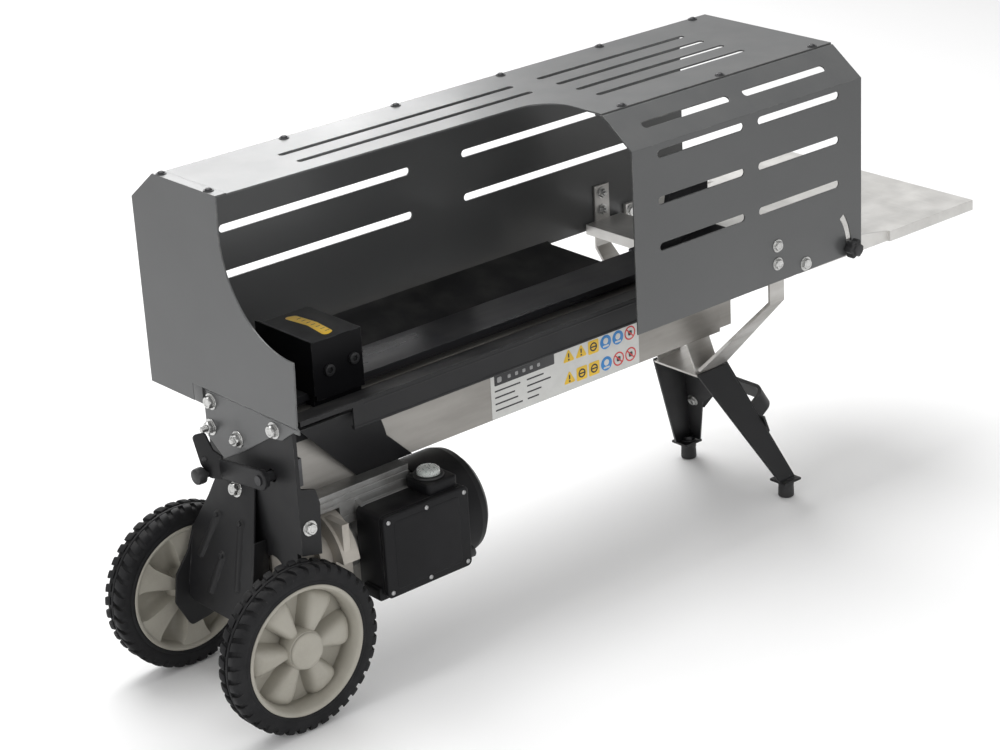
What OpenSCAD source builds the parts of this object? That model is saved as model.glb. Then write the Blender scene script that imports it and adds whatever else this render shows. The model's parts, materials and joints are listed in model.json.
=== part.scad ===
// Electric hydraulic log splitter with a wire-slotted sheet guard.
// X runs from the wheels to the folding table, Y across, Z up from the ground.
// Lengths along X are measured from the guard's end panel; centred() then puts
// the origin under the middle of the machine.

/* [Beam] */
// Outside width of the square beam
beam_w = 104; // [96:2:110]
// Height of the beam
beam_h = 96; // [90:2:100]
// Height of the beam's underside above the ground
beam_z0 = 250; // [240:1:260]
// Wall thickness of the beam
beam_t = 4; // [3:0.5:5]
// End of the beam, measured from the guard's end panel
beam_end = 735; // [720:1:745]

/* [Guard] */
// Length of the guard
guard_len = 884; // [860:1:900]
// Height of the guard's top face
guard_top = 617; // [600:1:640]
// Height where the sloping shoulder meets the wall
guard_shoulder = 580; // [560:1:590]
// Height of the guard's lower edge
guard_bottom = 349; // [345:1:355]
// Half of the guard's full width
guard_y = 164; // [160:1:170]
// Half of the width of the flat top
guard_flat_y = 116; // [105:1:125]
// Where the closed front panel starts
front_x = 484; // [460:1:500]
// Sheet thickness of the guard
guard_t = 2; // [1.5:0.5:2.5]
// Height of the ventilation slots
slot_h = 10; // [8:1:12]

/* [Pusher] */
// Travel of the pusher
stroke = 325; // [250:5:325]
// Back of the pusher at rest
pusher_x = 82; // [80:1:84]
// Length of the pusher block
pusher_len = 72; // [68:1:76]
// Half width of the pusher
pusher_y = 50; // [48:1:52]
// Height of the pusher's top
pusher_top = 428; // [420:1:435]

/* [Wheels] */
// Tyre radius
tyre_r = 103; // [103:1:103]
// Tyre width
tyre_w = 34; // [30:1:36]
// Outer face of each wheel from the middle of the machine
wheel_y = 133; // [131:1:135]
// Axle position
axle_x = -17; // [-19:1:-15]
// Axle radius
axle_r = 8; // [7:0.5:9]
// Number of spokes
spokes = 7; // [5:1:9]

/* [Table] */
// Height of the table's top
table_z = 360; // [356:1:362]
// Far end of the tilting table
table_end = 1105; // [1060:1:1110]
// Half width of the wide part of the tilting table
table_y = 166; // [160:1:168]
// Pivot of the tilting table
pivot_x = 779; // [778:1:781]
// Radius of the locking arc
lock_r = 82; // [80:1:84]
// Highest tilt of the table in degrees
tilt_max = 30; // [20:1:30]

/* [Motor] */
// Motor axis across the machine
motor_y = -50; // [-52:1:-48]
// Motor axis above the ground
motor_z = 168; // [166:1:170]
// Radius over the cooling ribs
motor_r = 68; // [67:0.5:68]
// Number of cooling ribs
ribs = 36; // [24:2:44]
// Teeth on each pump gear
gear_teeth = 12; // [12:4:16]

/* [Legs] */
// Foot position along the machine
foot_x = 813; // [805:1:820]
// Foot position across the machine
foot_y = 93; // [88:1:98]

/* [Hidden] */
$fn = 72;

run = 0.05;                                  // radial clearance of a running fit
front_end = axle_x - tyre_r;                 // lowest X of the machine
mid_x = (front_end + table_end) / 2;         // X under the middle of the machine
beam_top = beam_z0 + beam_h;
beam_y = beam_w / 2;
beam_start = 10;
track_top = beam_top + 16;
track_y = 34;
track_end = 668;
plate_x = 5;                                 // outer face of the base plate
wing_y = 116;
wing_z = 371;
wing_t = 2.5;
wing_end = 592;
pusher_front = pusher_x + pusher_len;
barrel_z = beam_z0 + beam_h / 2;
barrel_r = 32;
bore_r = 25;
rod_r = 15;
barrel_x = 22;
piston_len = 25;
end_wall = 10;
barrel_len = stroke + piston_len + 2 * end_wall + 1;
piston_x = barrel_x + end_wall + stroke + 0.5;
lever_y = -62;
lever_z = 294;
spindle_r = 6;
pivot_z = table_z - 1;
arm_in = guard_y - guard_t - 3.4;            // inner face of a table arm
arm_out = guard_y - guard_t - 0.4;           // outer face of a table arm
pivot_r = 4;
stud_r = 4;
slot_rows = [567, 508.5, 450];
gear_pitch = 14;
gear_gap = 2 * gear_pitch;
shaft_r = 8;
idler_r = 6;
button_x = 200;
button_y = -99;
button_r = 14;
box_x = 104;
box_len = 128;
box_z = 122;
box_h = 104;
box_front = -132;
box_back = -80;
lid_t = 8;
zinc = [0.72, 0.73, 0.75];
black = [0.09, 0.09, 0.10];
grey = [0.30, 0.31, 0.32];

// ---- helpers ----
module centred() translate([-mid_x, 0, 0]) children();
module block(lo, hi) translate(lo) cube(hi - lo);
module rod_x(x, y, z, r, len) translate([x, y, z]) rotate([0, 90, 0]) cylinder(h = len, r = r);
module rod_y(x, y, z, r, len) translate([x, y, z]) rotate([-90, 0, 0]) cylinder(h = len, r = r);
module rod_z(x, y, z, r, len) translate([x, y, z]) cylinder(h = len, r = r);
// a section drawn as (y, z), run along X
module along_x(x, len) translate([x, 0, 0]) rotate([90, 0, 90]) linear_extrude(len) children();
// a section drawn as (x, z), run along Y
module along_y(y, len) translate([0, y + len, 0]) rotate([90, 0, 0]) linear_extrude(len) children();
module both_sides() { children(); mirror([0, 1, 0]) children(); }
module slot2d(len, h) {
    square([len - h, h], center = true);
    translate([-(len - h) / 2, 0]) circle(h / 2);
    translate([(len - h) / 2, 0]) circle(h / 2);
}
module hex_bolt_x(x, y, z, r, head) {
    translate([x - head, y, z]) rotate([0, 90, 0]) cylinder(h = head, r = r, $fn = 6);
    rod_x(x - 1.6, y, z, r * 1.25, 1.6);
}

// a bent sheet: an open outline and the same outline moved sideways by its thickness
function unit(v) = v / norm(v);
function left_of(v) = [-v[1], v[0]];
function edge_dir(p, i) = unit(p[min(i + 1, len(p) - 1)] - p[min(i, len(p) - 2)]);
function side_point(p, i, t) =
    let (a = left_of(edge_dir(p, max(i - 1, 0))), b = left_of(edge_dir(p, i)), m = unit(a + b))
    p[i] + m * t / (m * a);
module folded(p, t) polygon(concat(p, [for (i = [len(p) - 1:-1:0]) side_point(p, i, t)]));

// ---- beam and track ----
module beam_tube() color(zinc) difference() {
    block([beam_start, -beam_y, beam_z0], [beam_end, beam_y, beam_top]);
    block([beam_start - 1, -beam_y + beam_t, beam_z0 + beam_t],
          [beam_end + 1, beam_y - beam_t, beam_top - beam_t]);
    both_sides() block([80, 37.5, beam_top - beam_t - 1], [156 + stroke, 44.5, beam_top + 1]);
}

module beam_end_cap() color([0.62, 0.63, 0.65]) difference() {
    union() {
        block([beam_end, -beam_y + 1.5, beam_z0 + 4], [beam_end + 22, beam_y - 1.5, beam_top - 1]);
        block([beam_end - 8, -beam_y + beam_t, beam_z0 + beam_t],
              [beam_end, beam_y - beam_t, beam_top - beam_t]);
    }
    rod_x(beam_end - 9, 0, barrel_z, 34, 22);
    rod_x(beam_end - 9, 22, beam_z0 + 20, 6, 40);
}

module track_rail() color(black) along_x(14, track_end - 14) polygon([
    [-24, beam_top], [24, beam_top], [24, beam_top + 8], [track_y, beam_top + 8],
    [track_y, track_top], [-track_y, track_top], [-track_y, beam_top + 8], [-24, beam_top + 8]]);

// ---- log cradle ----
module wing_section() folded([[beam_y + wing_t, 318], [beam_y + wing_t, 350.5], [wing_y, wing_z],
    [wing_y, 342]], wing_t);
module wing_cut() linear_extrude(500) polygon([[wing_end, 200], [wing_end, wing_y - 6],
    [wing_end + 34, beam_y], [wing_end + 34, 0], [800, 0], [800, 200]]);
module cradle_wing() difference() {
    union() {
        along_x(10, wing_end + 40) wing_section();
        rod_x(100, wing_y - 0.4, wing_z - 2.2, 3.2, wing_end - 100);
        rod_x(84, wing_y + 0.3, 343.5, 2.8, wing_end - 84);
    }
    block([0, wing_y - wing_t - 0.1, 300], [84, wing_y + 6, wing_z - 2.6]);
    wing_cut();
}
module cradle_back() color(black) cradle_wing();
module cradle_front() color(black) mirror([0, 1, 0]) cradle_wing();

gusset_top = [wing_y - 3, 361.5];
gusset_low = [beam_y + 2.8, beam_z0];
gusset_run = norm(gusset_top - gusset_low);
gusset_tilt = atan2(gusset_low[1] - gusset_top[1], gusset_top[0] - gusset_low[0]);
module cradle_gusset() translate([0, -gusset_top[0], gusset_top[1]]) rotate([gusset_tilt, 0, 0])
    linear_extrude(2.4) polygon([[12, 0], [139, 0], [139, 36], [150, 56], [157, 70],
        [212, gusset_run], [128, gusset_run]]);
module cradle_gussets() color(black) both_sides() cradle_gusset();

// ---- wheel-end plates ----
module base_plate() color(black) difference() {
    union() {
        along_x(plate_x, 5) polygon([[60, 376], [-108, 376], [-108, 207], [-97.5, 207], [-97.5, 158], [-60, 130],
            [56, 130], [56, 250], [60, 262]]);
        along_y(-108, 4) polygon([[plate_x, 207], [32, 201], [35, 264], [30, 282],
            [plate_x, 290]]);
    }
    rod_x(0, lever_y, lever_z, spindle_r + 2, 12);
    rod_x(0, motor_y, motor_z, 20, 12);
}

module valve_block() color([0.7, 0.7, 0.72]) difference() {
    block([10, lever_y - 18, lever_z - 17], [34, -beam_y - 0.4, lever_z + 17]);
    rod_x(9, lever_y, lever_z, spindle_r + run, 30);
}

bracket_tilt = 10.8;
module wheel_bracket() color(black) difference() {
    union() {
        translate([2, 0, 273]) rotate([0, bracket_tilt, 0]) rotate([90, 0, 90]) linear_extrude(3)
            polygon([[-28, 0], [42, 0], [60, -40], [88, -88], [89, -118], [88, -145], [82, -176],
                [-39, -176], [-38, -105], [-32, -45]]);
        along_y(85.5, 3) polygon([[-13, 190], [plate_x, 190], [plate_x, 122], [13, 112], [13, 70],
            [-4, 66], [-30, 62], [-49, 98], [-44, 134], [-24, 160]]);
        along_y(-38.5, 3) polygon([[-13, 205], [plate_x, 205], [plate_x, 92], [-4, 84], [-30, 84]]);
        ribs_on_bracket();
    }
    rod_y(axle_x, -60, tyre_r, axle_r, 160);
}
module ribs_on_bracket() translate([2, 0, 273]) rotate([0, bracket_tilt, 0]) rotate([90, 0, 90])
    translate([0, 0, -2]) linear_extrude(2.2) for (rib = [[38, -56, 66, -114], [-8, -54, -10, -134],
            [23, -103, 41, -152]]) stripe(rib);
module stripe(e) translate([(e[0] + e[2]) / 2, (e[1] + e[3]) / 2])
    rotate(atan2(e[3] - e[1], e[2] - e[0])) slot2d(norm([e[2] - e[0], e[3] - e[1]]) + 9, 10);

module axle() color([0.6, 0.6, 0.62]) {
    rod_y(axle_x, -130, tyre_r, axle_r, 260);
    both_sides() rod_y(axle_x, 94, tyre_r, 14, 4.5);
}

// ---- wheels ----
module wheel_turn(y) translate([axle_x, y, tyre_r]) rotate([90, 0, 0]) children();
module tyre() color([0.07, 0.07, 0.08]) wheel_turn(0) rotate_extrude($fn = 120) polygon([
    [79.5, 1], [86, 0], [97, 1.5], [101.5, 5], [tyre_r, 9], [tyre_r, 15.5], [100, 16], [100, 18],
    [tyre_r, 18.5], [tyre_r, tyre_w - 9], [101.5, tyre_w - 5], [97, tyre_w - 1.5],
    [86, tyre_w], [79.5, tyre_w - 1]]);
module rim() color([0.78, 0.75, 0.68]) wheel_turn(0) difference() {
    union() {
        rotate_extrude($fn = 120) polygon([[69, 2], [79.5, 1], [79.5, tyre_w - 1], [69, tyre_w - 2]]);
        cylinder(h = tyre_w - 4, r = 23);
        translate([0, 0, 6]) cylinder(h = 6, r = 70);
        for (i = [0:spokes - 1]) rotate(i * 360 / spokes + 12) translate([0, 0, 9])
            linear_extrude(17) polygon([[18, -7], [71, -19.5], [71, 19.5], [18, 7]]);
    }
    translate([0, 0, -1]) cylinder(h = tyre_w + 2, r = axle_r + run);
}
// the wheel's outer face is its high end; it is turned over for the other side
module hub_cap() color([0.80, 0.77, 0.70]) wheel_turn(0) translate([0, 0, tyre_w - 2.6])
    rotate_extrude() polygon([[0, 0], [22, 0], [22, 3], [19.4, 4.6], [0, 5.4]]);
module on_front() translate([0, -wheel_y + tyre_w, 0]) children();
module on_back() mirror([0, 1, 0]) on_front() children();
module tyre_front() on_front() tyre();
module rim_front() on_front() rim();
module hub_cap_front() on_front() hub_cap();
module tyre_back() on_back() tyre();
module rim_back() on_back() rim();
module hub_cap_back() on_back() hub_cap();

// ---- guard ----
module end_outline() difference() {
    polygon([[guard_y, guard_bottom], [guard_y, guard_shoulder], [guard_flat_y, guard_top],
        [-8, guard_top], [-6, 571], [-129, 571], [-129, 440], [-125, 373], [76, 371],
        [76, guard_bottom]]);
    translate([-126, 571]) circle(120, $fn = 120);
}
module guard_end_panel() color(grey) difference() {
    union() {
        along_x(0, guard_t) end_outline();
        along_y(-124.5, 200) polygon([[0, 377], [2, 377], [2, 372], [5, 367], [5, 362], [3, 362],
            [3, 367], [0, 371]]);
        along_x(3, guard_t) polygon([[60, 366], [-124.5, 366], [-122, 370], [-119, 366], [-90, 346],
            [-66, 342], [-10, 308], [29, 288], [59, 308], [60, 330]]);
        along_x(1, 13) polygon([[-8, guard_top - guard_t], [-8, guard_top],
            [guard_flat_y - 3, guard_top], [guard_flat_y - 3, guard_top - guard_t]]);
    }
    for (b = end_bolt_places) rod_x(-1, b[0], b[1], 4, 8);
}
end_bolt_places = [[46, 355], [51, 321.5], [-2, 321.5], [-76, 354.5]];

module back_slots() for (row = [1, 2]) for (span = [[114, 406], [492, 784]])
    translate([(span[0] + span[1]) / 2, 0, slot_rows[row]]) rotate([90, 0, 0])
        translate([0, 0, -guard_y - 5]) linear_extrude(10) slot2d(span[1] - span[0], slot_h);
module wall_slots(rows) for (row = rows) for (span = [[525, 671], [696, 842]])
    translate([(span[0] + span[1]) / 2, -guard_y + 5, slot_rows[row]]) rotate([90, 0, 0])
        linear_extrude(10) slot2d(span[1] - span[0], slot_h);
slope = atan2(guard_top - guard_shoulder, guard_y - guard_flat_y);
module shoulder_slots() for (span = [[525, 671], [696, 842]])
    translate([(span[0] + span[1]) / 2, -(guard_y + guard_flat_y) / 2,
               (guard_top + guard_shoulder) / 2]) rotate([slope, 0, 0])
        translate([0, 0, -8]) linear_extrude(16) slot2d(span[1] - span[0], slot_h);
module lock_slot() translate([pivot_x, 0, pivot_z]) rotate([90, 0, 0]) {
    rotate([0, 0, -3.6]) rotate_extrude(angle = tilt_max + 7.2, $fn = 180)
        translate([lock_r - stud_r - 0.6, -8]) square([2 * stud_r + 1.2, 16]);
}
module wall_holes() {
    translate([0, -guard_y, 0]) lock_slot();
    rod_y(pivot_x, -guard_y - 5, pivot_z, pivot_r, 10);
    for (z = strap_holes) rod_y(strap_mid, -guard_y - 5, z, 3, 10);
}
function guard_side(s) = [[s * (guard_flat_y - 14), guard_top - guard_t],
    [s * guard_flat_y, guard_top - guard_t], [s * guard_y, guard_shoulder],
    [s * guard_y, guard_bottom]];
module guard_back_panel() color(grey) difference() {
    along_x(guard_t, guard_len - guard_t) folded(guard_side(1), -guard_t);
    back_slots();
    mirror([0, 1, 0]) wall_holes();
}
module guard_front_panel() color(grey) difference() {
    along_x(front_x, guard_len - front_x) folded(guard_side(-1), guard_t);
    wall_slots([0, 1, 2]);
    shoulder_slots();
    wall_holes();
}
cut_y = -16;
cut_r = 45;
module guard_top_panel() color([0.42, 0.43, 0.44]) translate([0, 0, guard_top - guard_t])
    difference() {
        translate([0, 0, guard_t * 0.0 + 0]) linear_extrude(guard_t) difference() {
            polygon([[14, guard_flat_y - 3], [guard_len, guard_flat_y - 3],
                [guard_len, -guard_flat_y + 3], [front_x, -guard_flat_y + 3], [front_x, cut_y - cut_r],
                [front_x - cut_r, cut_y - cut_r], [front_x - cut_r, cut_y], [14, cut_y + 6]]);
            translate([front_x - cut_r, cut_y - cut_r]) circle(cut_r, $fn = 96);
            for (y = [57, 21]) translate([315, y]) slot2d(358, slot_h - 1);
            for (y = [57, 21, -15, -51]) translate([662, y]) slot2d(254, slot_h - 1);
        }
    }
module pan_head(x, y) translate([x, y, guard_top]) rotate_extrude($fn = 32)
    polygon([[0, 0], [4.6, 0], [4.2, 2], [2.6, 3], [0, 3.2]]);
module guard_screws() color([0.16, 0.16, 0.17]) {
    for (i = [0:5]) pan_head(i == 0 ? 7 : 12 + i * 168.6, 107);
    pan_head(7, 14);
    for (i = [0:2]) pan_head(523 + i * 166, -107);
}
module end_bolts() color([0.8, 0.8, 0.82]) {
    hex_bolt_x(3, end_bolt_places[0][0], end_bolt_places[0][1], 8.5, 7);
    hex_bolt_x(3, end_bolt_places[1][0], end_bolt_places[1][1], 8.5, 6);
    rod_x(-13, end_bolt_places[1][0], end_bolt_places[1][1], 4, 11);
    hex_bolt_x(3, end_bolt_places[2][0], end_bolt_places[2][1], 9, 6);
    rod_x(-9, end_bolt_places[2][0], end_bolt_places[2][1], 4, 7);
    hex_bolt_x(3, end_bolt_places[3][0], end_bolt_places[3][1], 9, 7);
    translate([2, 0, 273]) rotate([0, bracket_tilt, 0]) hex_bolt_x(0, 5, -15, 8.5, 7);
    translate([18, -108, 238]) rotate([90, 0, 0]) cylinder(h = 5.5, r = 8, $fn = 6);
    for (b = end_bolt_places) rod_x(3, b[0], b[1], 4, 2);
}

// ---- guard straps, legs and handle ----
strap_mid = 728;
strap_w = 26;
strap_holes = [397, 373];
module strap() {
    block([strap_mid - strap_w / 2, guard_y - guard_t - 3, 321], [strap_mid + strap_w / 2,
        guard_y - guard_t, 408]);
    strut([strap_mid, guard_y - guard_t - 1.5, 322], [strap_w, 3, 3],
        [leg_head_x, leg_head_y + 3.2, leg_head_z + 5.5], [50, 3, 3]);
}
module strap_back() color([0.66, 0.66, 0.64]) difference() {
    strap();
    for (z = strap_holes) rod_y(strap_mid, guard_y - 8, z, 3, 10);
}
module strap_front() mirror([0, 1, 0]) strap_back();
module guard_bolts() color([0.8, 0.8, 0.82]) both_sides() {
    for (z = strap_holes) {
        rod_y(strap_mid, -guard_y - 3, z, 6, 3);
        rod_y(strap_mid, -guard_y, z, 3, 5);
        translate([strap_mid, -guard_y + 5, z]) rotate([-90, 0, 0]) cylinder(h = 5, r = 6, $fn = 6);
    }
    rod_y(pivot_x, -guard_y - 4, pivot_z, 7, 4);
    rod_y(pivot_x, -guard_y, pivot_z, pivot_r, guard_y - arm_in + sheet + 0.4);
    rod_y(pivot_x, -arm_in + sheet + 0.4, pivot_z, 7, 4);
}

// the legs are one folded sheet: a sloping top, two webs and two flanges behind them
leg_head_x = 729;
leg_head_y = 40;
leg_head_z = 196;
rear_lean = 20.9;
module strut(a, size_a, b, size_b) hull() {
    translate(a) cube(size_a, center = true);
    translate(b) cube(size_b, center = true);
}
module rear_plane() translate([755.6, 0, 198]) rotate([0, -rear_lean, 0]) children();
module on_rear(x, len) rear_plane() along_x(x, len) children();
module leg_mount() color(black) {
    both_sides() along_y(34, 3) polygon([[686, beam_z0 - 3], [728, beam_z0 - 3], [745, 199],
        [706, 194]]);
    block([686, -37, beam_z0 - 3], [728, 37, beam_z0]);
    translate([703, 0, 191]) rotate([0, -7.6, 0]) block([0, -leg_head_y, 0], [52.5, leg_head_y, 3]);
}
bolt_y = 60;
bolt_s = -102;
module leg() {
    strut([leg_head_x, leg_head_y + 1.6, leg_head_z - 2], [52, 3, 3], [foot_x - 5.5, foot_y + 6, 28],
        [27, 3, 3]);
    difference() {
        on_rear(0, 2.5) polygon([[0.1, -1], [40.8, -1], [99, -182], [78, -182], [42, -101],
            [0.1, -67]]);
        rear_plane() rod_x(-1, bolt_y, bolt_s, 3, 5);
    }
    translate([foot_x - 2, foot_y + 1, 25]) cube([31, 28, 3], center = true);
}
module leg_back() color(black) leg();
module leg_front() color(black) mirror([0, 1, 0]) leg();
module leg_bolts() color([0.8, 0.8, 0.82]) both_sides() rear_plane() {
    translate([-4.5, bolt_y, bolt_s]) rotate([0, 90, 0]) cylinder(h = 4.5, r = 6.5, $fn = 6);
    rod_x(0, bolt_y, bolt_s, 2.95, 11);
    translate([6.1, bolt_y, bolt_s]) rotate([0, 90, 0]) cylinder(h = 5, r = 6.2, $fn = 6);
}
module rubber_feet() color([0.06, 0.06, 0.06]) both_sides() {
    translate([foot_x, foot_y, 0]) cylinder(h = 23.5, r = 10.8);
}

// a flat bar bent into a D and bolted behind the legs
grip_y = 50;
grip_t = 5;
grip_w = 30;
module grip_outline(out, bend) {
    translate([-60, -out]) square([60 - bend, 2 * out]);
    translate([-60, -out + bend]) square([60, 2 * (out - bend)]);
    for (s = [-1, 1]) translate([-bend, s * (out - bend)]) circle(bend);
}
module pull_handle() color(black) {
    difference() {
        translate([829, 0, 131]) rotate([0, -33, 0]) translate([0, 0, -grip_w / 2])
            linear_extrude(grip_w) difference() {
                grip_outline(grip_y, 16);
                translate([-grip_t, 0]) grip_outline(grip_y - grip_t, 11);
                translate([-70, -grip_y + grip_t]) square([20, 2 * (grip_y - grip_t)]);
            }
        rear_plane() block([-90, -60, -260], [2.6, 60, 60]);
    }
    both_sides() difference() {
        on_rear(2.6, 3.4) translate([grip_y - 1, bolt_s - 13]) square([26, 26]);
        rear_plane() rod_x(0, bolt_y, bolt_s, 3, 9);
    }
}
// ---- hydraulic cylinder: the rod stays, the barrel travels with the pusher ----
module cylinder_rod() color([0.85, 0.86, 0.88]) {
    rod_x(beam_start, 0, barrel_z, rod_r, piston_x - beam_start);
    rod_x(beam_start, 0, barrel_z, 30, 8);
}
module piston() color([0.6, 0.6, 0.62]) rod_x(piston_x, 0, barrel_z, bore_r - run, piston_len);
module cylinder_barrel() color([0.35, 0.36, 0.38]) difference() {
    rod_x(barrel_x, 0, barrel_z, barrel_r, barrel_len);
    rod_x(barrel_x + end_wall, 0, barrel_z, bore_r, barrel_len - 2 * end_wall);
    rod_x(barrel_x - 1, 0, barrel_z, rod_r + run, end_wall + 2);
}
leg_in = 39;
leg_out = 43;
module drive_yoke() color([0.3, 0.3, 0.32]) difference() {
    union() {
        block([100, -leg_out, barrel_z - 38], [140, leg_out, barrel_z + 38]);
        both_sides() block([100, leg_in, barrel_z + 38], [140, leg_out, beam_top + 1]);
    }
    rod_x(99, 0, barrel_z, barrel_r, 42);
}
module pusher_block() color([0.12, 0.12, 0.13]) along_x(pusher_x + 3, pusher_len - 3) union() {
    polygon([[-leg_out, beam_top + 1], [-leg_out, pusher_top - 3.5], [leg_out, pusher_top - 3.5],
        [leg_out, beam_top + 1], [26, beam_top + 1], [26, beam_top + 7.6],
        [track_y + 0.4, beam_top + 7.6], [track_y + 0.4, track_top + 0.4],
        [-track_y - 0.4, track_top + 0.4], [-track_y - 0.4, beam_top + 7.6],
        [-26, beam_top + 7.6], [-26, beam_top + 1]]);
}
bolt_spots = [[104, 390], [140, 394]];
module pusher_cover() color(black) difference() {
    union() {
        block([pusher_x + 3, -pusher_y, pusher_top - 3.5], [pusher_front, pusher_y, pusher_top]);
        both_sides() block([pusher_x + 3, leg_out, 356], [pusher_front, pusher_y, pusher_top - 3.5]);
        block([pusher_x, -pusher_y, track_top + 1], [pusher_x + 3, pusher_y + 8, pusher_top + 1]);
    }
    both_sides() for (b = bolt_spots) rod_y(b[0], leg_out - 1, b[1], 4.2, 10);
}
module pusher_bolts() color([0.2, 0.2, 0.21]) both_sides() for (b = bolt_spots) difference() {
    union() {
        rod_y(b[0], leg_out, b[1], 4.2, pusher_y - leg_out);
        rod_y(b[0], pusher_y, b[1], 7, 4);
    }
    translate([b[0], pusher_y + 1.5, b[1]]) rotate([-90, 0, 0]) cylinder(h = 4, r = 3.4, $fn = 6);
}

// ---- wedge ----
wedge_tip = 674;
wedge_back = 755;
module wedge() color([0.13, 0.13, 0.14]) {
    difference() {
        translate([0, 0, beam_top + 12]) linear_extrude(470 - beam_top - 12)
            polygon([[wedge_tip, 0], [wedge_back, -15], [wedge_back, 15]]);
        translate([wedge_tip, 0, 470]) rotate([0, 14, 0]) cube([60, 60, 120], center = true);
    }
    difference() {
        translate([0, 0, beam_top + 12]) linear_extrude(34)
            polygon([[wedge_tip + 26, 0], [wedge_back, -46], [wedge_back, 46]]);
        translate([wedge_tip + 14, 0, beam_top + 12]) rotate([0, -24, 0])
            translate([0, -60, 0]) cube([140, 120, 60]);
    }
    block([wedge_tip - 2, -beam_y + 2, beam_top], [wedge_back + 1, beam_y - 2, beam_top + 12]);
}

// ---- tables ----
lip_h = 14;
sheet = 2;
module tray(x0, x1, y, open_end) difference() {
    block([x0, -y, table_z - lip_h], [x1, y, table_z]);
    block([x0 + (open_end ? -1 : sheet), -y + sheet, table_z - lip_h - 1],
          [x1 - sheet, y - sheet, table_z - sheet]);
}
inner_y = guard_y - guard_t - 3;
module inner_table() color([0.72, 0.71, 0.68]) difference() {
    tray(697, pivot_x - 17, inner_y, false);
    block([690, -beam_y - 6, table_z - 20], [beam_end + 24.5, beam_y + 6, table_z + 1]);
}
neck_x = 938;
module tilt_table() color([0.72, 0.71, 0.68]) difference() {
    union() {
        difference() {
            union() {
                tray(pivot_x + 10, neck_x + sheet, arm_in, true);
                tray(neck_x, table_end, table_y, false);
            }
            block([neck_x - 1, -arm_in + sheet, table_z - lip_h - 1],
                  [neck_x + sheet + 1, arm_in - sheet, table_z - sheet]);
        }
        both_sides() along_y(arm_in - sheet, arm_out - arm_in + sheet) polygon([
            [pivot_x - 10, pivot_z - 12], [neck_x, table_z - lip_h], [neck_x, table_z],
            [pivot_x + lock_r + 14, pivot_z + 11], [pivot_x - 10, pivot_z + 11]]);
    }
    both_sides() rod_y(pivot_x, arm_in - sheet - 1, pivot_z, pivot_r + run, 10);
    both_sides() rod_y(pivot_x + lock_r, arm_in - sheet - 1, pivot_z, stud_r + run, 10);
}
module star_knob() color([0.08, 0.08, 0.08]) translate([pivot_x + lock_r, 0, pivot_z]) {
    rotate([90, 0, 0]) translate([0, 0, guard_y + 1]) {
        difference() {
            cylinder(h = 14, r = 13);
            for (i = [0:5]) rotate(i * 60 + 30) translate([15.5, 0, -1]) cylinder(h = 16, r = 5);
        }
        cylinder(h = 17, r = 8);
    }
    rod_y(0, -guard_y - 1, 0, stud_r, guard_y + 1 - arm_in + sheet);
}
module star_knob_front() star_knob();
module star_knob_back() mirror([0, 1, 0]) star_knob();

// ---- motor, pump and switch ----
module motor_x(x) translate([x, motor_y, motor_z]) rotate([0, 90, 0]) children();
module pump_body() color([0.32, 0.33, 0.35]) difference() {
    block([10, motor_y - 24, motor_z - 26], [44, motor_y + gear_gap + 24, motor_z + 26]);
    for (dy = [0, gear_gap]) rod_x(17.6, motor_y + dy, motor_z, gear_pitch + 2.7, 16.8);
    rod_x(16, motor_y, motor_z, shaft_r + run, 40);
    rod_x(12, motor_y + gear_gap, motor_z, idler_r + run, 28);
}
module adapter_plate() color([0.78, 0.77, 0.74]) difference() {
    union() {
        motor_x(44) cylinder(h = 16, r = 40);
        motor_x(60) cylinder(h = 24, r = 60);
        block([64, motor_y - 56, motor_z - 52], [74, motor_y + 56, motor_z + 56]);
    }
    block([40, -130, 90], [88, -94, 176]);
    motor_x(40) cylinder(h = 50, r = 19);
}
module motor_housing() color([0.72, 0.73, 0.75]) difference() {
    union() {
        motor_x(84) cylinder(h = 30, r = 29.5);
        motor_x(109) cylinder(h = 93, r = 61);
        motor_x(199) cylinder(h = 7, r = 66.5);
        motor_x(109) cylinder(h = 5, r = motor_r);
        for (i = [0:ribs - 1]) motor_x(112) rotate(i * 360 / ribs) translate([58, -1, 0])
            cube([motor_r - 58, 2, 88]);
        block([86, motor_y - 24, 205], [190, motor_y + 22, beam_z0]);
        block([50, motor_y - 24, 229.5], [87, motor_y + 22, beam_z0]);
    }
    for (z = [215, 234, 242]) block([40, motor_y - 25, z], [191, motor_y - 23, z + 1.6]);
    motor_x(113) cylinder(h = 78, r = 56);
    motor_x(79) cylinder(h = 140, r = 17);
}
module stator() color([0.55, 0.35, 0.2]) difference() {
    motor_x(115) cylinder(h = 72, r = 56);
    motor_x(114) cylinder(h = 74, r = 30.5);
}
module motor_bearings() color([0.75, 0.76, 0.78]) for (x = [84, 192]) difference() {
    motor_x(x) cylinder(h = 9, r = 17);
    motor_x(x - 1) cylinder(h = 11, r = shaft_r + run);
}
module rotor_shaft() color([0.6, 0.6, 0.62]) {
    motor_x(17) cylinder(h = 223, r = shaft_r);
    motor_x(117) cylinder(h = 68, r = 30);
}
module cooling_fan() color([0.1, 0.1, 0.1]) difference() {
    union() {
        motor_x(216) cylinder(h = 20, r = 16);
        for (i = [0:6]) motor_x(218) rotate(i * 360 / 7) translate([12, -1.5, 0]) cube([42, 3, 16]);
        motor_x(216) cylinder(h = 2, r = 54);
    }
    motor_x(215) cylinder(h = 22, r = shaft_r);
}
module fan_cover() color(black) difference() {
    motor_x(200) rotate_extrude($fn = 96) polygon([[69, 0], [69, 62], [66, 72], [58, 80],
        [44, 85], [0, 87], [0, 84], [43, 82], [56, 77.5], [63.5, 70.5], [66.5, 61], [66.5, 0]]);
    for (ring = [22, 34, 46]) for (i = [0:11]) motor_x(272) rotate(i * 30 + ring)
        translate([ring, 0, 0]) cylinder(h = 20, r = 2.6);
}
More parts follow.
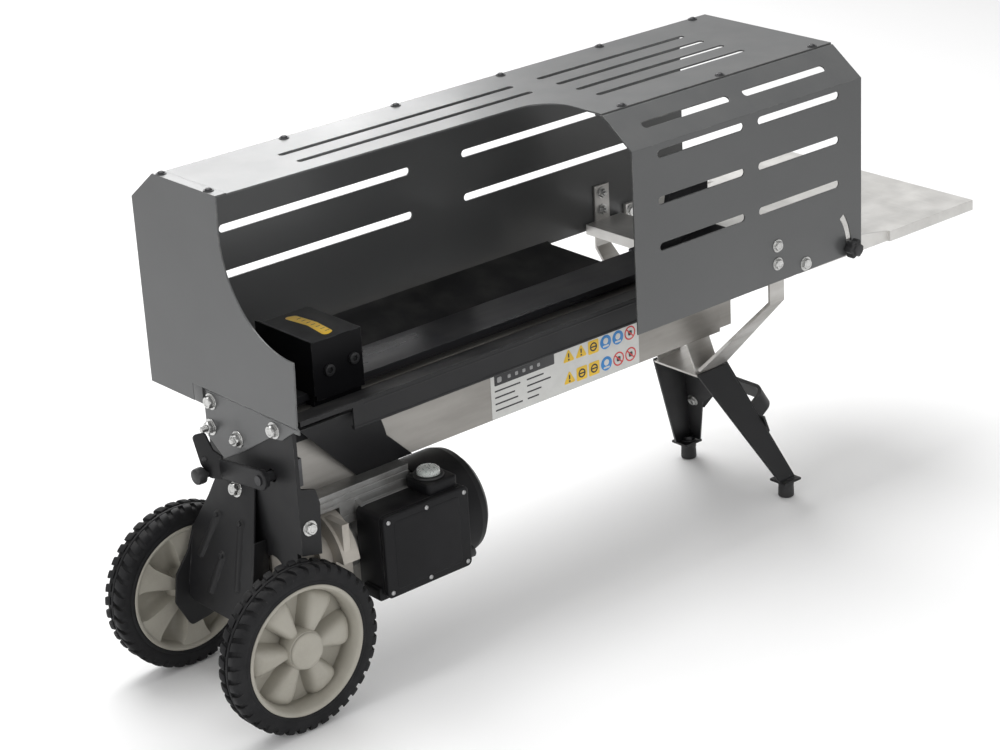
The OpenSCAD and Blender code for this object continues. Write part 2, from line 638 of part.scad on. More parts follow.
module gear(teeth, pitch_r, turn) rotate(turn) {
    circle(pitch_r - 2.6);
    for (i = [0:teeth - 1]) rotate(i * 360 / teeth) polygon([[pitch_r - 4, -2.3], [pitch_r, -1.4],
        [pitch_r + 2.1, -0.7], [pitch_r + 2.1, 0.7], [pitch_r, 1.4], [pitch_r - 4, 2.3]]);
}
module drive_gear() color([0.55, 0.5, 0.4]) along_x(18, 16) translate([motor_y, motor_z])
    difference() {
        gear(gear_teeth, gear_pitch, 0);
        circle(shaft_r);
    }
module driven_gear() color([0.55, 0.5, 0.4]) {
    along_x(18, 16) translate([motor_y + gear_gap, motor_z])
        gear(gear_teeth, gear_pitch, 180 / gear_teeth);
    rod_x(12.5, motor_y + gear_gap, motor_z, idler_r, 26);
}

module motor_clear() {
    motor_x(108.4) cylinder(h = 91.5, r = motor_r);
    motor_x(199.8) cylinder(h = 80, r = 69.3);
}
module switch_box() color([0.07, 0.07, 0.08]) difference() {
    union() {
        block([box_x, box_front + lid_t, box_z], [box_x + box_len, box_back, box_z + box_h]);
        block([button_x - 21, box_front + lid_t, box_z + box_h],
              [button_x + 24, box_back + 2, box_z + box_h + 14]);
    }
    motor_clear();
    difference() {
        block([box_x + 4, box_front, box_z + 4], [box_x + box_len - 4, box_back - 2, box_z + box_h - 4]);
        motor_x(70) cylinder(h = 200, r = 72.4);
    }
    rod_z(button_x, button_y, box_z + box_h - 6, button_r + 0.08, 30);
}
module switch_cover() color([0.05, 0.05, 0.055]) difference() {
    block([box_x, box_front, box_z], [box_x + box_len, box_front + lid_t, box_z + box_h]);
    block([box_x + 4, box_front + 4, box_z + 4],
          [box_x + box_len - 4, box_front + lid_t + 1, box_z + box_h - 4]);
    for (s = cover_screw_places) rod_y(s[0], box_front - 1, s[1], 2, 10);
}
cover_screw_places = [for (x = [7, 64, 121]) for (z = [7, 97]) [box_x + x, box_z + z]];
module cover_screws() color([0.6, 0.6, 0.62]) for (s = cover_screw_places) {
    rod_y(s[0], box_front - 2, s[1], 3.6, 2);
    rod_y(s[0], box_front, s[1], 2, 4);
}
module power_inlet() color([0.1, 0.1, 0.1]) difference() {
    union() {
        rod_x(box_x + box_len, -118, box_z + 9, 8, 3);
        rod_x(box_x + box_len, -118, box_z + 9, 7, 12);
    }
    rod_x(box_x + box_len + 2, -118, box_z + 9, 4, 12);
}
module start_button() color([0.1, 0.5, 0.3]) {
    rod_z(button_x, button_y, box_z + box_h + 5.5, button_r, 12.5);
    translate([button_x, button_y, box_z + box_h + 18]) rotate_extrude()
        polygon([[0, 0], [button_r, 0], [button_r - 1, 1.6], [button_r - 3.5, 2.6], [0, 3]]);
}

// ---- control lever ----
arm_tilt = -7;
module bent_frame() translate([-12, 16, 285]) rotate([0, 0, 30]) children();
module control_lever() color(black) difference() {
    union() {
        translate([0, lever_y, lever_z]) rotate([arm_tilt, 0, 0]) along_x(-14, 4) union() {
            circle(12.4);
            translate([0, -12.4]) square([80, 24.8]);
        }
        bent_frame() along_x(-2, 4) polygon([[-3, 15], [8, 22], [16.5, 43], [33, 38], [25, 3],
            [15, -14], [-1, -14]]);
        rod_x(-13, lever_y, lever_z, 11, 14);
    }
    rod_x(-15, lever_y, lever_z, spindle_r, 30);
}
module lever_knob() color([0.07, 0.07, 0.07]) {
    rod_x(-38, 33, 276, 10, 11);
    bent_frame() rod_x(-10, 19.6, -9, 5, 8);
    bent_frame() rod_x(-3.6, 19, 10, 3.6, 1.6);
}
module valve_spindle() color([0.7, 0.7, 0.72]) rod_x(-16, lever_y, lever_z, spindle_r, 48);

centred() beam_tube();
centred() beam_end_cap();
centred() track_rail();
centred() cradle_front();
centred() cradle_back();
centred() cradle_gussets();
centred() base_plate();
centred() valve_block();
centred() guard_end_panel();
centred() guard_back_panel();
centred() guard_top_panel();
centred() guard_front_panel();
centred() guard_screws();
centred() end_bolts();
centred() strap_front();
centred() strap_back();
centred() guard_bolts();
centred() wedge();
centred() inner_table();
centred() leg_mount();
centred() leg_front();
centred() leg_back();
centred() leg_bolts();
centred() rubber_feet();
centred() pull_handle();
centred() wheel_bracket();
centred() axle();
centred() cylinder_rod();
centred() piston();
centred() pump_body();
centred() adapter_plate();
centred() motor_housing();
centred() stator();
centred() motor_bearings();
centred() fan_cover();
centred() switch_box();
centred() switch_cover();
centred() cover_screws();
centred() power_inlet();
centred() pusher_block();
centred() pusher_cover();
centred() pusher_bolts();
centred() drive_yoke();
centred() cylinder_barrel();
centred() tyre_front();
centred() rim_front();
centred() hub_cap_front();
centred() tyre_back();
centred() rim_back();
centred() hub_cap_back();
centred() rotor_shaft();
centred() cooling_fan();
centred() drive_gear();
centred() driven_gear();
centred() control_lever();
centred() lever_knob();
centred() valve_spindle();
centred() start_button();
centred() tilt_table();
centred() star_knob_front();
centred() star_knob_back();
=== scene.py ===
import bpy
import bmesh
import json
import math
from mathutils import Matrix, Vector


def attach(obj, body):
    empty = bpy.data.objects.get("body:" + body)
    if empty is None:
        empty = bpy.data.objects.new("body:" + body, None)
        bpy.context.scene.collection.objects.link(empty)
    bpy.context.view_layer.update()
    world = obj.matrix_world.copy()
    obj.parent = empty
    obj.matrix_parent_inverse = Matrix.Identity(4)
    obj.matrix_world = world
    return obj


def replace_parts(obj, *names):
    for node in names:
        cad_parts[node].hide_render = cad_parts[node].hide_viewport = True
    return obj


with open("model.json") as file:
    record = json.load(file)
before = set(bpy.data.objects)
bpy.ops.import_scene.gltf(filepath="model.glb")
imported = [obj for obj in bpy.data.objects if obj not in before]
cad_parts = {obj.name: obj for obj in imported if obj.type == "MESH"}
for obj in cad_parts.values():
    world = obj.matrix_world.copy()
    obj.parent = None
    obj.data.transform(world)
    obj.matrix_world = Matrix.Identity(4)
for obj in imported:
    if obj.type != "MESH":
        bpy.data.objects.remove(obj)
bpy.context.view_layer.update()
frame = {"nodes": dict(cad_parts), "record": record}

MM = 0.001
MID_X = 492.5  # where the machine's middle lies from the guard's end panel
TURN = 2 * math.pi


def at(x, y, z):
    """A point given in millimetres from the guard's end panel, the middle plane and the ground."""
    return Vector(((x - MID_X) * MM, y * MM, z * MM))


def basis(x, y, z, across, up, out):
    """A matrix whose local X, Y and Z run along the three given directions, in millimetre units."""
    m = Matrix.Identity(4)
    for column, vector in enumerate((across, up, out)):
        for row in range(3):
            m[row][column] = vector[row] * MM
    m.translation = at(x, y, z)
    return m


# across, up and out for a piece that faces one side of the machine
FRONT = ((1, 0, 0), (0, 0, 1), (0, -1, 0))  # the lever side
BACK = ((-1, 0, 0), (0, 0, 1), (0, 1, 0))
TOP = ((1, 0, 0), (0, 1, 0), (0, 0, 1))
WHEEL_END = ((0, -1, 0), (0, 0, 1), (-1, 0, 0))
SIDES = (("front", FRONT, -1), ("back", BACK, 1))

# places in millimetres from the guard's end panel, the middle plane and the ground
WHEEL_X, WHEEL_Y, WHEEL_Z = -17, 99, 103
LEVER_Y, LEVER_Z = -62, 294
PIVOT_X, PIVOT_Z = 779, 359
LOCK_X = 861
BUTTON_X, BUTTON_Y = 200, -99
BRACKET_X, BRACKET_Z, BRACKET_TILT = 2, 273, math.radians(10.8)
GUARD_TOP, GUARD_WALL, GUARD_BOTTOM = 617, 164, 349
LEG_X, LEG_Z, LEG_LEAN = 755.6, 198, math.radians(20.9)
FOOT_X, FOOT_Y = 813, 93


# ---------------------------------------------------------------- materials
class Nodes:
    """Small helper around one material's node tree."""

    def __init__(self, name):
        self.mat = bpy.data.materials.new(name)
        self.mat.use_nodes = True
        self.tree = self.mat.node_tree
        self.bsdf = self.tree.nodes["Principled BSDF"]
        self.coords = self.tree.nodes.new("ShaderNodeTexCoord")

    def add(self, kind, **values):
        node = self.tree.nodes.new(kind)
        for key, value in values.items():
            setattr(node, key, value)
        return node

    def link(self, a, b):
        self.tree.links.new(a, b)

    def noise(self, scale, stretch=(1, 1, 1), detail=4.0, rough=0.55):
        mapping = self.add("ShaderNodeMapping")
        mapping.inputs["Scale"].default_value = stretch
        self.link(self.coords.outputs["Object"], mapping.inputs["Vector"])
        node = self.add("ShaderNodeTexNoise")
        node.inputs["Scale"].default_value = scale
        node.inputs["Detail"].default_value = detail
        node.inputs["Roughness"].default_value = rough
        self.link(mapping.outputs["Vector"], node.inputs["Vector"])
        return node.outputs["Fac"]

    def remap(self, value, low, high, to_low, to_high, smooth=False):
        node = self.add("ShaderNodeMapRange")
        if smooth:
            node.interpolation_type = "SMOOTHSTEP"
        for key, number in zip(("From Min", "From Max", "To Min", "To Max"), (low, high, to_low, to_high)):
            node.inputs[key].default_value = number
        self.link(value, node.inputs["Value"])
        return node.outputs["Result"]

    def mix(self, factor, a, b):
        node = self.add("ShaderNodeMix", data_type="RGBA")
        self.link(factor, node.inputs["Factor"])
        for socket, value in ((node.inputs["A"], a), (node.inputs["B"], b)):
            if isinstance(value, tuple):
                socket.default_value = (*value, 1)
            else:
                self.link(value, socket)
        return node.outputs["Result"]

    def math(self, operation, a, b):
        node = self.add("ShaderNodeMath", operation=operation)
        for socket, value in zip(node.inputs, (a, b)):
            if isinstance(value, (int, float)):
                socket.default_value = value
            else:
                self.link(value, socket)
        return node.outputs[0]


def shade(color, factor):
    return tuple(min(1.0, c * factor) for c in color)


def surface(
    name,
    color,
    rough,
    metal=0.0,
    coat=0.0,
    tone=0.12,
    tone_scale=9.0,
    tone_stretch=(1, 1, 1),
    rough_span=0.08,
    grain=900.0,
    grain_stretch=(1, 1, 1),
    grain_depth=0.02,
    round_mm=0.7,
    wear=None,
    wear_amount=0.6,
    dust=0.0,
    specular=0.5,
    tint=None,
):
    """One procedural finish: cloudy tone, uneven gloss, fine grain, rounded edges, worn edges and settled dust."""
    n = Nodes(name)
    cloud = n.noise(tone_scale, tone_stretch, 5.0)
    second = tint if tint else shade(color, 1 - tone)
    base = n.mix(n.remap(cloud, 0.32, 0.68, 0, 1, True), second, shade(color, 1 + tone * 0.6))
    speck = n.noise(grain * 0.28, grain_stretch, 3.0)
    base = n.mix(n.remap(speck, 0.3, 0.75, 0, 0.35), base, shade(color, 1 + tone * 0.9))
    bevel = n.add("ShaderNodeBevel", samples=4)
    bevel.inputs["Radius"].default_value = round_mm * MM
    if wear:
        geometry = n.add("ShaderNodeNewGeometry")
        dot = n.add("ShaderNodeVectorMath", operation="DOT_PRODUCT")
        n.link(bevel.outputs["Normal"], dot.inputs[0])
        n.link(geometry.outputs["Normal"], dot.inputs[1])
        edge = n.remap(dot.outputs["Value"], 0.985, 0.86, 0, 1)
        patch = n.remap(n.noise(55.0, detail=6.0), 0.47, 0.62, 0, wear_amount)
        base = n.mix(n.math("MULTIPLY", edge, patch), base, wear)
    if dust:
        geometry = n.add("ShaderNodeNewGeometry")
        split = n.add("ShaderNodeSeparateXYZ")
        n.link(geometry.outputs["Normal"], split.inputs[0])
        upward = n.remap(split.outputs["Z"], 0.5, 1.0, 0, 1)
        film = n.remap(n.noise(24.0, detail=7.0), 0.4, 0.75, 0, dust)
        base = n.mix(n.math("MULTIPLY", upward, film), base, (0.42, 0.40, 0.36))
    n.link(base, n.bsdf.inputs["Base Color"])
    gloss = n.noise(tone_scale * 2.3, tone_stretch, 6.0)
    n.link(n.remap(gloss, 0.25, 0.75, rough - rough_span, rough + rough_span), n.bsdf.inputs["Roughness"])
    fine = n.noise(grain, grain_stretch, 2.0)
    bump = n.add("ShaderNodeBump")
    bump.inputs["Strength"].default_value = 0.6
    bump.inputs["Distance"].default_value = grain_depth * MM
    n.link(fine, bump.inputs["Height"])
    n.link(bevel.outputs["Normal"], bump.inputs["Normal"])
    n.link(bump.outputs["Normal"], n.bsdf.inputs["Normal"])
    n.bsdf.inputs["Metallic"].default_value = metal
    n.bsdf.inputs["Coat Weight"].default_value = coat
    n.bsdf.inputs["Coat Roughness"].default_value = 0.12
    n.bsdf.inputs["Specular IOR Level"].default_value = specular
    return n.mat


def flat_ink(name, color, rough=0.45):
    """Printed ink: even colour with a faint screen texture and a little scuffing."""
    return surface(name, color, rough, tone=0.05, tone_scale=60, grain=1500, grain_depth=0.004, round_mm=0.15,
                   rough_span=0.05)


STEEL_BARE = (0.45, 0.44, 0.42)
GREY_PAINT = (0.098, 0.100, 0.101)
BLACK_PAINT = (0.011, 0.011, 0.012)
GALVANISED = (0.50, 0.49, 0.475)
CREAM = (0.36, 0.342, 0.295)

finish = {
    "guard_paint": surface("guard_enamel", GREY_PAINT, 0.34, metal=0.25, tone=0.10, tone_scale=3.0, coat=0.15,
                           grain=1500, grain_depth=0.012, wear=STEEL_BARE, wear_amount=0.45, dust=0.05,
                           round_mm=1.2, rough_span=0.05),
    "frame_paint": surface("frame_enamel", BLACK_PAINT, 0.46, tone=0.18, tone_scale=7.0, specular=0.3, grain=1300,
                           grain_depth=0.015, wear=(0.2, 0.2, 0.2), wear_amount=0.5, dust=0.06, round_mm=1.0),
    "galvanised_steel": surface("galvanised_sheet", GALVANISED, 0.42, metal=0.85, tone=0.22, tone_scale=16.0,
                                tone_stretch=(0.35, 1, 1), grain=700, grain_stretch=(0.05, 1, 1),
                                grain_depth=0.012, rough_span=0.12, round_mm=0.8, tint=(0.36, 0.345, 0.325)),
    "zinc_fasteners": surface("zinc_plate", (0.56, 0.56, 0.55), 0.30, metal=1.0, tone=0.12, tone_scale=90,
                              grain=2500, grain_depth=0.006, round_mm=0.5),
    "black_fasteners": surface("black_oxide", (0.03, 0.03, 0.032), 0.38, metal=0.4, tone=0.2, tone_scale=120,
                               grain=2500, grain_depth=0.008, round_mm=0.4),
    "bright_rod": surface("hard_chrome", (0.78, 0.79, 0.80), 0.08, metal=1.0, tone=0.03, grain=2500,
                          grain_stretch=(8, 1, 1), grain_depth=0.002, rough_span=0.03),
    "machined_steel": surface("machined_steel", (0.42, 0.42, 0.42), 0.33, metal=1.0, tone=0.1, tone_scale=30,
                              grain=1800, grain_stretch=(6, 1, 1), grain_depth=0.006),
    "track_steel": surface("track_black", (0.028, 0.028, 0.031), 0.33, metal=0.35, tone=0.25, tone_scale=10,
                           tone_stretch=(0.15, 1, 1), grain=900, grain_stretch=(0.05, 1, 1), grain_depth=0.010,
                           wear=(0.22, 0.22, 0.22), wear_amount=0.5, rough_span=0.1, dust=0.05),
    "pusher_paint": surface("pusher_black", (0.007, 0.007, 0.008), 0.36, specular=0.10, tone=0.2, tone_scale=14,
                            grain=500, grain_depth=0.03, wear=(0.2, 0.2, 0.2), wear_amount=0.4, round_mm=1.2),
    "cast_iron": surface("cast_iron", (0.10, 0.10, 0.105), 0.62, metal=0.5, tone=0.25, tone_scale=45, grain=420,
                         grain_depth=0.14, round_mm=1.5),
    "motor_alloy": surface("cast_alloy", (0.40, 0.40, 0.395), 0.45, metal=0.8, tone=0.16, tone_scale=22, grain=650,
                           grain_depth=0.05, rough_span=0.1, round_mm=0.9, tint=(0.29, 0.285, 0.275)),
    "winding": surface("varnished_winding", (0.35, 0.16, 0.06), 0.35, tone=0.3, tone_scale=60, grain=300,
                       grain_stretch=(0.2, 1, 1), grain_depth=0.2),
    "tyre_rubber": surface("tyre_rubber", (0.010, 0.010, 0.011), 0.66, tone=0.25, tone_scale=25, grain=800,
                           grain_depth=0.05, rough_span=0.12, dust=0.05, wear=(0.05, 0.05, 0.048),
                           wear_amount=0.8, round_mm=0.6, specular=0.25),
    "rim_plastic": surface("cream_moulding", CREAM, 0.48, tone=0.06, tone_scale=14, grain=1100, grain_depth=0.02,
                           rough_span=0.06, round_mm=0.8, tint=(0.30, 0.283, 0.24)),
    "box_plastic": surface("black_moulding", (0.007, 0.007, 0.008), 0.44, specular=0.17, tone=0.15, tone_scale=20,
                           grain=1500, grain_depth=0.03, rough_span=0.05, dust=0.04, round_mm=1.2),
    "knob_plastic": surface("knob_moulding", (0.018, 0.018, 0.019), 0.5, tone=0.15, tone_scale=40, grain=1200,
                            grain_depth=0.04, round_mm=0.6),
    "button_plastic": surface("green_button", (0.02, 0.25, 0.13), 0.3, tone=0.08, tone_scale=60, grain=1800,
                              grain_depth=0.01, round_mm=0.6),
    "foot_rubber": surface("foot_rubber", (0.022, 0.022, 0.023), 0.6, tone=0.2, tone_scale=40, grain=700,
                           grain_depth=0.06, round_mm=1.0, dust=0.05),
}

# Painted shade: a darker copy of the galvanised finish for the beam, its colour lowered as if its faces were in
# shade.
finish["beam_galvanised_painted_shade"] = surface("beam_galvanised_painted_shade", (0.31, 0.298, 0.28), 0.42, metal=0.85, tone=0.2, tone_scale=14.0,
                               tone_stretch=(0.3, 1, 1), grain=700, grain_stretch=(0.05, 1, 1), grain_depth=0.012,
                               rough_span=0.12, round_mm=0.8, tint=(0.235, 0.224, 0.208))
# Painted light: a lighter copy of the galvanised finish for the tables, their colour raised as if their tops were
# lit from above.
finish["table_galvanised_painted_light"] = surface("table_galvanised_painted_light", (0.66, 0.65, 0.63), 0.46, metal=0.7, tone=0.12, tone_scale=12.0,
                                grain=700, grain_stretch=(1, 0.05, 1), grain_depth=0.010, rough_span=0.1,
                                round_mm=0.8, tint=(0.56, 0.55, 0.53))
finish["pump_casting"] = surface("pump_casting", (0.47, 0.44, 0.395), 0.52, metal=0.5, tone=0.14, tone_scale=30,
                                 grain=520, grain_depth=0.09, round_mm=1.2)
# Nodes that get another finish than their slot's. The beam takes the painted-shade copy of the galvanised finish,
# and the tables take the painted-light copy.
SPECIAL_FINISH = {"beam_tube": "beam_galvanised_painted_shade", "beam_end_cap": "beam_galvanised_painted_shade", "tilt_table": "table_galvanised_painted_light",
                  "inner_table": "table_galvanised_painted_light", "pump_body": "pump_casting", "adapter_plate": "pump_casting",
                  "valve_spindle": "black_fasteners", "leg_mount": "galvanised_steel"}
for record_part in frame["record"]["subparts"]:
    node_object = frame["nodes"][record_part["node"]]
    node_object.data.materials.clear()
    finish_name = SPECIAL_FINISH.get(record_part["node"], record_part["material_slot"])
    node_object.data.materials.append(finish[finish_name])


# ---------------------------------------------------------------- mesh helpers
def new_piece(name, mesh, body, slot_name, material=None, matrix=None, sharp_deg=35):
    """Adds a piece that rides on a CAD body and takes its finish from a slot."""
    if matrix is not None:
        mesh.transform(matrix)
    piece = bpy.data.objects.new(name, mesh)
    bpy.context.scene.collection.objects.link(piece)
    mesh.materials.clear()
    mesh.materials.append(material or finish[slot_name])
    mesh.shade_smooth()
    mesh.set_sharp_from_angle(angle=math.radians(sharp_deg))
    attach(piece, body)
    return piece


def mesh_from(verts, faces, name="mesh"):
    mesh = bpy.data.meshes.new(name)
    mesh.from_pydata([tuple(v) for v in verts], [], faces)
    mesh.validate()
    tidy = bmesh.new()
    tidy.from_mesh(mesh)
    bmesh.ops.remove_doubles(tidy, verts=tidy.verts, dist=1e-6)
    bmesh.ops.recalc_face_normals(tidy, faces=tidy.faces)
    tidy.to_mesh(mesh)
    tidy.free()
    return mesh


def join(meshes, name="joined"):
    """One mesh from several."""
    whole = bmesh.new()
    for mesh in meshes:
        whole.from_mesh(mesh)
        bpy.data.meshes.remove(mesh)
    out = bpy.data.meshes.new(name)
    whole.to_mesh(out)
    whole.free()
    return out


def lathe(profile, steps=64, closed=True):
    """Turns (radius, height) points about local Z. A closed profile makes a ring."""
    verts, faces = [], []
    count = len(profile)
    for i in range(steps):
        a = TURN * i / steps
        for r, h in profile:
            verts.append((r * math.cos(a), r * math.sin(a), h))
    spans = count if closed else count - 1
    for i in range(steps):
        j = (i + 1) % steps
        for k in range(spans):
            m = (k + 1) % count
            faces.append((i * count + k, j * count + k, j * count + m, i * count + m))
    return mesh_from(verts, faces)


def disc(profile, steps=48):
    """A solid of revolution whose profile starts and ends on the axis."""
    return lathe(profile, steps, closed=False)


def rounded(points, radius, steps=6):
    """The polygon with each corner turned into an arc. radius is one number or one for each corner."""
    out = []
    count = len(points)
    for i, p in enumerate(points):
        r = radius[i] if isinstance(radius, (list, tuple)) else radius
        p, a, b = Vector(p), Vector(points[i - 1]), Vector(points[(i + 1) % count])
        u, v = (a - p).normalized(), (b - p).normalized()
        half = u.angle(v) / 2
        if r <= 0 or half > math.radians(88):
            out.append(tuple(p))
            continue
        reach = min(r / math.tan(half), 0.49 * (a - p).length, 0.49 * (b - p).length)
        r = reach * math.tan(half)
        centre = p + (u + v).normalized() * (r / math.sin(half))
        start, end = p + u * reach - centre, p + v * reach - centre
        sweep = start.angle_signed(end)
        for k in range(steps + 1):
            out.append(tuple(centre + Matrix.Rotation(-sweep * k / steps, 2) @ start))
    return out


def plate(loops, thickness, edge=0.5, edge_steps=2):
    """A plate in local XY from z = 0 to z = thickness, with rounded edges. Later loops are holes."""
    curve = bpy.data.curves.new("outline", "CURVE")
    curve.dimensions = "2D"
    curve.fill_mode = "BOTH"
    curve.extrude = thickness / 2 - edge
    curve.bevel_depth = edge
    curve.bevel_resolution = edge_steps
    curve.offset = -edge
    for loop in loops:
        spline = curve.splines.new("POLY")
        spline.points.add(len(loop) - 1)
        for point, xy in zip(spline.points, loop):
            point.co = (xy[0], xy[1], 0, 1)
        spline.use_cyclic_u = True
    holder = bpy.data.objects.new("outline", curve)
    bpy.context.scene.collection.objects.link(holder)
    bpy.context.view_layer.update()
    mesh = bpy.data.meshes.new_from_object(holder.evaluated_get(bpy.context.evaluated_depsgraph_get()))
    bpy.data.objects.remove(holder)
    bpy.data.curves.remove(curve)
    mesh.transform(Matrix.Translation((0, 0, thickness / 2)))
    tidy = bmesh.new()
    tidy.from_mesh(mesh)
    bmesh.ops.remove_doubles(tidy, verts=tidy.verts, dist=1e-4)
    tidy.to_mesh(mesh)
    tidy.free()
    return mesh


def circle(radius, steps=32, x=0.0, y=0.0):
    return [(x + radius * math.cos(TURN * i / steps), y + radius * math.sin(TURN * i / steps)) for i in range(steps)]


def rectangle(x0, y0, x1, y1):
    return [(x0, y0), (x1, y0), (x1, y1), (x0, y1)]


def shifted(mesh, x=0.0, y=0.0, z=0.0, turn=0.0):
    mesh.transform(Matrix.Translation((x, y, z)) @ Matrix.Rotation(turn, 4, "Z"))
    return mesh


# ---------------------------------------------------------------- fasteners
def hex_head(radius, height, washer=1.3, turn=0.0):
    """A chamfered hexagon head with a washer under it and a dished top."""
    rings = [(1.0, 0.0), (1.0, height * 0.82), (0.93, height), (0.62, height), (0.55, height - 0.5)]
    steps = 36
    verts, faces = [], []
    for level, (share, h) in enumerate(rings):
        for i in range(steps):
            a = TURN * i / steps
            sector = (a % (TURN / 6)) - TURN / 12
            hexagon = radius * math.cos(TURN / 12) / math.cos(sector)
            r = hexagon if level < 2 else radius * math.cos(TURN / 12) * share
            if level == 1:
                h_here = h - (hexagon - radius * math.cos(TURN / 12)) * 0.9
            else:
                h_here = h
            verts.append((r * math.cos(a), r * math.sin(a), h_here))
    for level in range(len(rings) - 1):
        for i in range(steps):
            j = (i + 1) % steps
            faces.append((level * steps + i, level * steps + j, (level + 1) * steps + j, (level + 1) * steps + i))
    faces.append(tuple(range(steps * (len(rings) - 1), steps * len(rings))))
    faces.append(tuple(reversed(range(steps))))
    head = shifted(mesh_from(verts, faces), 0, 0, washer, turn)
    ring = lathe([(radius * 0.5, 0), (radius * 1.28, 0), (radius * 1.3, washer * 0.4), (radius * 1.26, washer),
                  (radius * 0.5, washer)], 40)
    return join([head, ring])


def pan_screw(radius, height, cross=True):
    """A domed screw head with two crossed bars on its crown."""
    crown = [(0, height), (radius * 0.35, height * 0.97), (radius * 0.7, height * 0.8),
             (radius * 0.93, height * 0.45), (radius, height * 0.1), (radius, 0), (0, 0)]
    head = disc(crown, 28)
    if not cross:
        return head
    slot_meshes = [head]
    for quarter in range(2):
        bar = plate([rectangle(-radius * 0.52, -radius * 0.1, radius * 0.52, radius * 0.1)], 0.3, 0.05, 1)
        slot_meshes.append(shifted(bar, 0, 0, height * 0.86, quarter * math.pi / 2 + 0.4))
    return join(slot_meshes)


def socket_screw(radius, height):
    """A cylinder head with a hexagon socket and a knurled edge."""
    steps = 72
    outline = []
    for i in range(steps):
        r = radius * (1.0 if i % 2 else 0.97)
        outline.append((r * math.cos(TURN * i / steps), r * math.sin(TURN * i / steps)))
    socket = [(radius * 0.52 * math.cos(TURN * i / 6), radius * 0.52 * math.sin(TURN * i / 6)) for i in range(6)]
    body = plate([outline, socket], height, 0.3, 1)
    floor = shifted(plate([circle(radius * 0.6, 24)], height * 0.35, 0.05, 1), 0, 0, 0.05)
    return join([body, floor])


def threaded_stud(radius, length, pitch=1.25):
    """A bolt end with its thread cut as rings."""
    profile = [(0, 0), (radius, 0)]
    h = 0.3
    while h < length - 1.2:
        profile += [(radius, h), (radius * 0.86, h + pitch * 0.5)]
        h += pitch
    profile += [(radius, length - 1.0), (radius * 0.8, length), (0, length)]
    return disc(profile, 24)


def fasten(name, body, slot_name, heads):
    """Several fastener meshes as one piece. Each entry is (mesh, matrix)."""
    parts = []
    for mesh, matrix in heads:
        mesh.transform(matrix)
        parts.append(mesh)
    return new_piece(name, join(parts), body, slot_name)


# ---------------------------------------------------------------- wheels
RIM_R = 79.5
TYRE_R = 103.0
TYRE_W = 34.0
LUGS = 38


def lug_block(a0, sweep, outline, lean):
    """A tread block: an (radius, height) outline swept round the tyre, leaning with height."""
    stations = 4
    verts, faces = [], []
    count = len(outline)
    for i in range(stations + 1):
        pull = 0.35 if i in (0, stations) else 0.0
        for r, h in outline:
            a = a0 + sweep * i / stations + lean * (h - TYRE_W / 2) / TYRE_W
            verts.append(((r - pull) * math.cos(a), (r - pull) * math.sin(a), h))
    for i in range(stations):
        for k in range(count):
            m = (k + 1) % count
            faces.append((i * count + k, i * count + m, (i + 1) * count + m, (i + 1) * count + k))
    faces.append(tuple(range(count)))
    faces.append(tuple(reversed(range(stations * count, (stations + 1) * count))))
    return mesh_from(verts, faces)


def tyre_mesh():
    w = TYRE_W
    half = [(RIM_R, 3.0), (RIM_R + 0.4, 1.4), (82.0, 0.5), (84.0, 0.9), (84.8, 1.3), (85.9, 0.6), (89.5, 0.1),
            (93.0, 0.3), (96.4, 1.4), (98.2, 3.2), (98.7, 6.0), (98.7, 14.2), (100.4, 15.0), (101.8, 15.5)]
    carcass = half + [(101.9, w / 2)] + [(r, w - h) for r, h in reversed(half)]
    parts = [lathe(carcass, 152)]
    side = [(92.5, 0.5), (96.0, 0.2), (100.2, 1.0), (102.3, 2.8), (TYRE_R, 5.0), (TYRE_R, 12.4), (102.3, 13.4),
            (97.6, 13.6), (96.0, 6.0)]
    for i in range(LUGS):
        a = TURN * i / LUGS
        parts.append(lug_block(a, TURN / LUGS * 0.60, side, 0.10))
        mirrored = [(r, w - h) for r, h in side]
        parts.append(lug_block(a + TURN / LUGS * 0.5, TURN / LUGS * 0.60, mirrored, -0.10))
    return join(parts)


def rim_mesh(spokes=6):
    w = TYRE_W
    lip = [(RIM_R, 2.0), (RIM_R + 0.5, 0.6), (79.0, -0.2), (77.2, -0.3), (75.6, 0.6), (74.0, 3.0), (71.6, 9.0),
           (70.6, 17.0)]
    drum = lip + [(r, w - h) for r, h in reversed(lip[:-1])]
    parts = [lathe(drum, 112)]
    parts.append(vane_wall(spokes))
    hub = [(8.1, 1.0), (15.0, 1.0), (19.5, 2.0), (21.0, 5.0), (22.6, 9.0), (24.0, 12.0), (24.0, 27.0),
           (23.2, 30.2), (21.0, 31.4), (8.1, 31.4)]
    parts.append(lathe(hub, 72))
    return join(parts)


